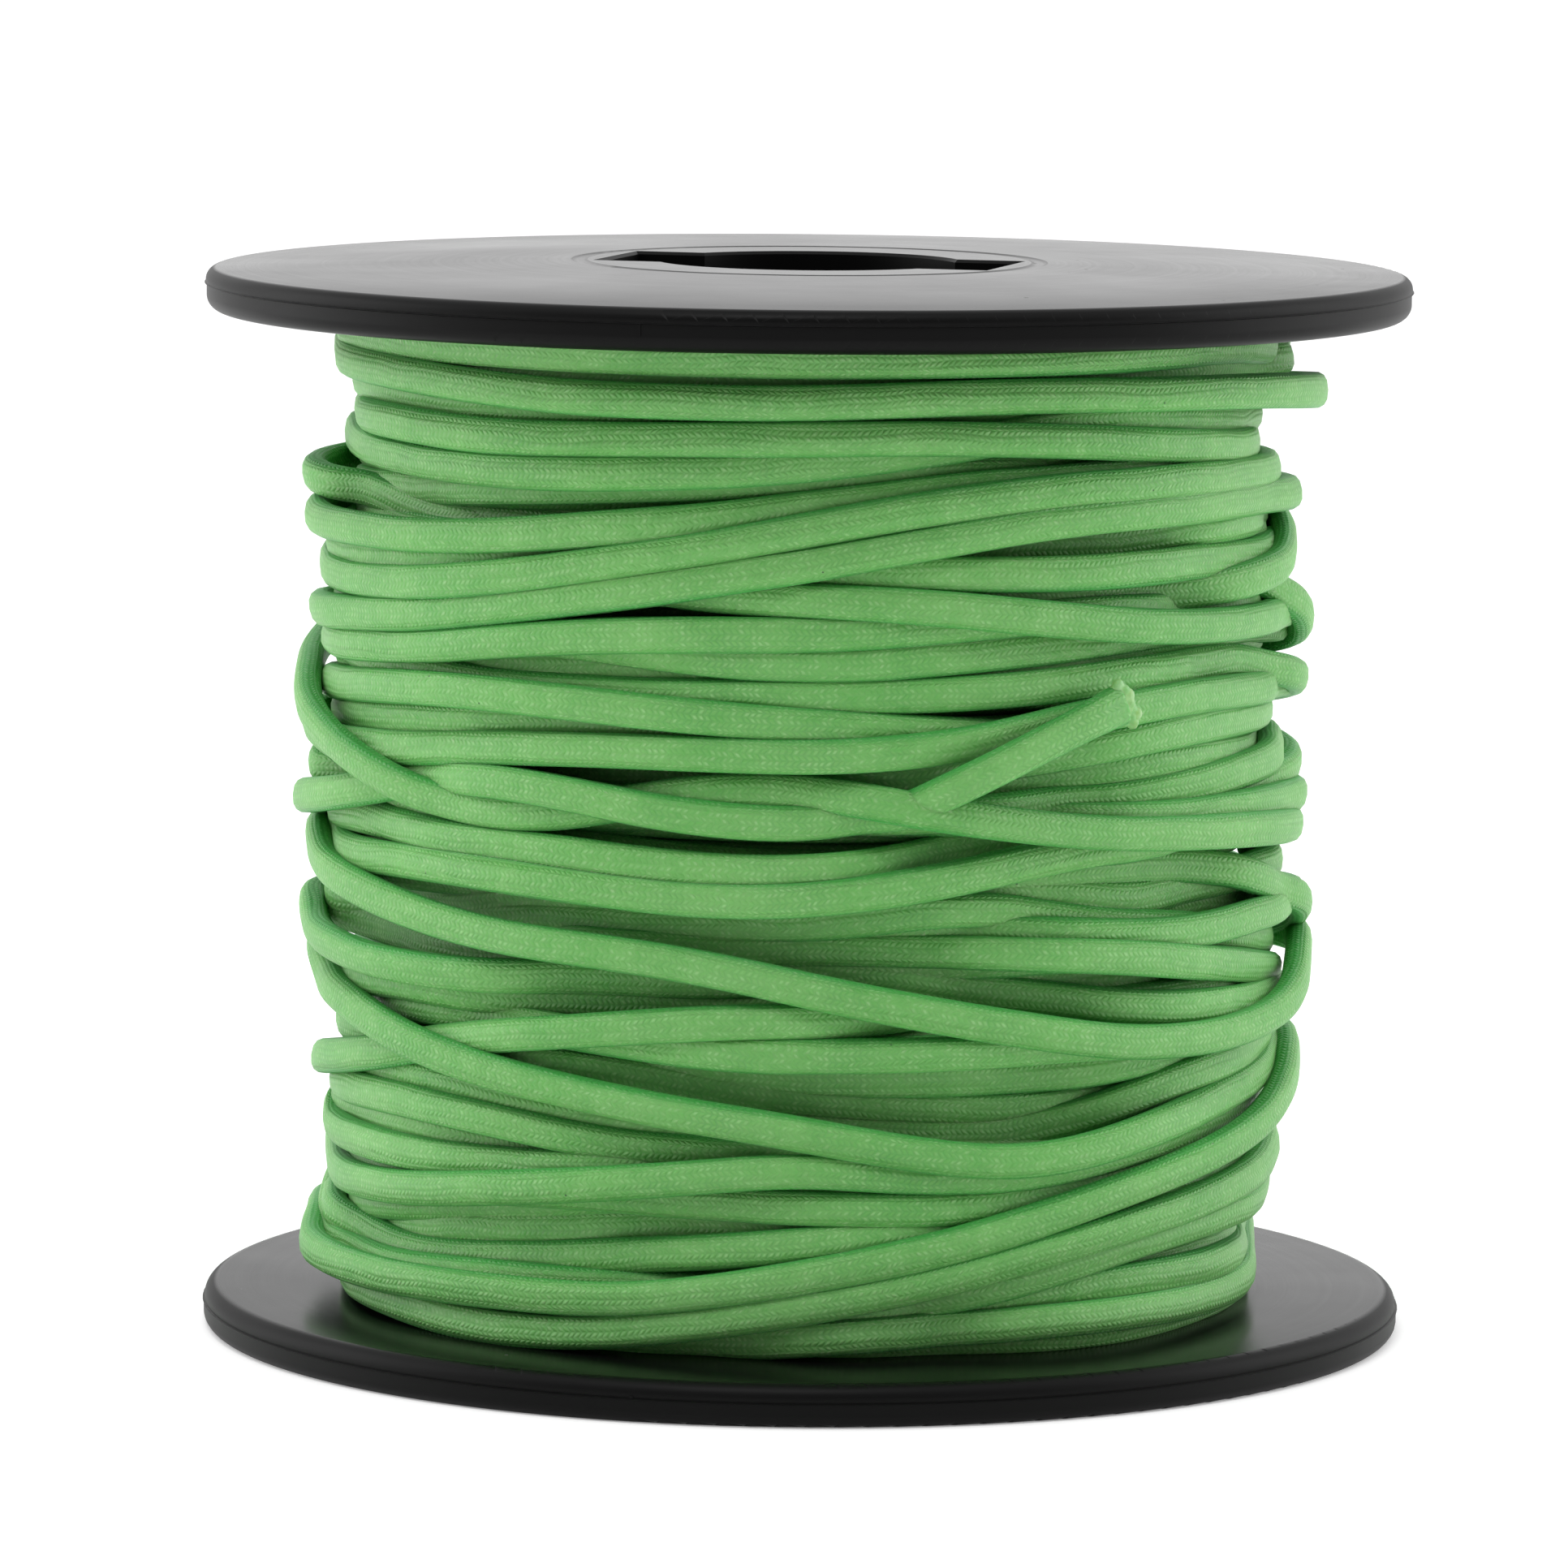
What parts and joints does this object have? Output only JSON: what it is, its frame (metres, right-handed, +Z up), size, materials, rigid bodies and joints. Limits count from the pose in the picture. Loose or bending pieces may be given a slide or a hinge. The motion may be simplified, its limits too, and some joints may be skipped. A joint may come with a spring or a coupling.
{
  "type": "fishing line spool",
  "caption": "Two-flanged moulded plastic spool wound full of thin waxed braided cord, with a keyed through hole for a winding arbor.",
  "frame": {"origin": "centre of the lower flange's resting face, on the spool's axis", "axes": "+Z up the spool's axis, +X along the two drive slots of the hole, Y through the mould's side seams"},
  "size_m": [0.08, 0.08, 0.0711],
  "materials": {
    "spool_plastic": "moulded black plastic, semi-gloss, lightly scuffed",
    "cord": "waxed tight braid, soft sheen",
    "core_yarn": "pale straight yarns",
    "cord_end": "melted and pressed cord end, waxy",
    "tape": "thin masking tape"
  },
  "bodies": {
    "root": {"upper_flange": "spool_plastic", "lower_flange": "spool_plastic", "barrel": "spool_plastic", "start_tape": "tape", "cord_winding": "cord", "cord_tail_sheath": "cord", "cord_tail_core": "core_yarn", "cord_end_seal": "cord_end"}
  },
  "joints": []
}
